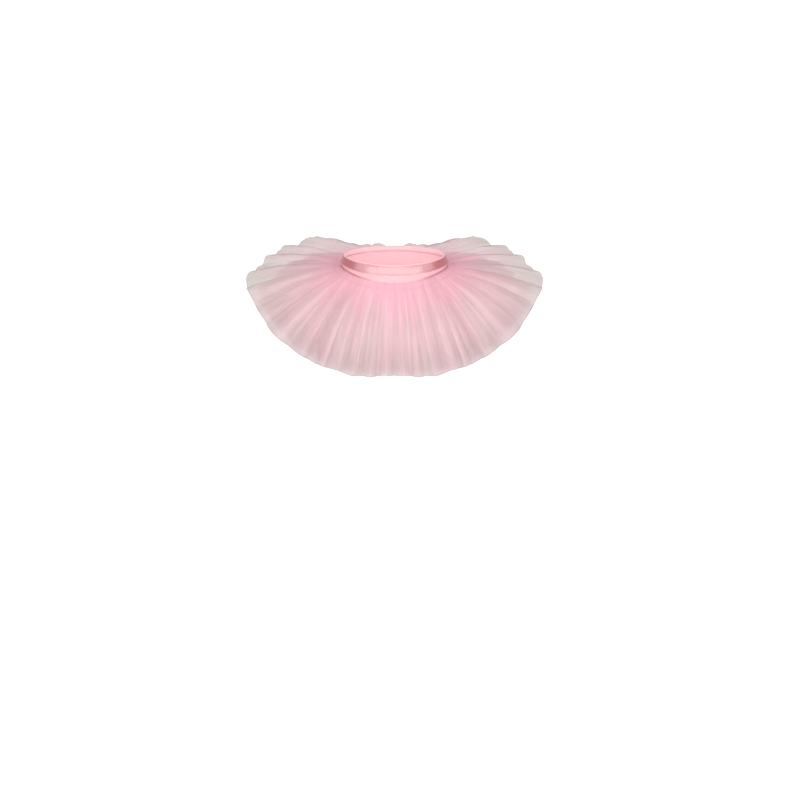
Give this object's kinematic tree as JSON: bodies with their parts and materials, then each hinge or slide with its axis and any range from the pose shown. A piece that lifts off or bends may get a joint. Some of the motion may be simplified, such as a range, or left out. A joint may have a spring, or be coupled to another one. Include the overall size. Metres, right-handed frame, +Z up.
{
  "type": "tutu skirt",
  "caption": "Short ballet tutu skirt: a satin waistband and matt yoke carrying gathered layers of stiff pink net, level at the sides and back and dropping in front, in its hollow worn form",
  "frame": {"origin": "the middle of the waistband, at half its height at the centre front, where the wearer's waist holds the skirt up", "axes": "+Z is up, the front of the skirt faces -Y and +X is the wearer's left; the two sides mirror each other across X = 0"},
  "size_m": [0.569, 0.4483, 0.194],
  "materials": {
    "satin": "pale pink satin over elastic, with a soft sheen",
    "strip": "matt pale pink cloth",
    "net": "stiff sheer pink net, matt, denser where it is gathered"
  },
  "bodies": {
    "root": {"waistband": "satin", "yoke": "strip", "net_layer_1": "net", "net_layer_2": "net", "net_layer_3": "net", "net_layer_4": "net"}
  },
  "joints": []
}
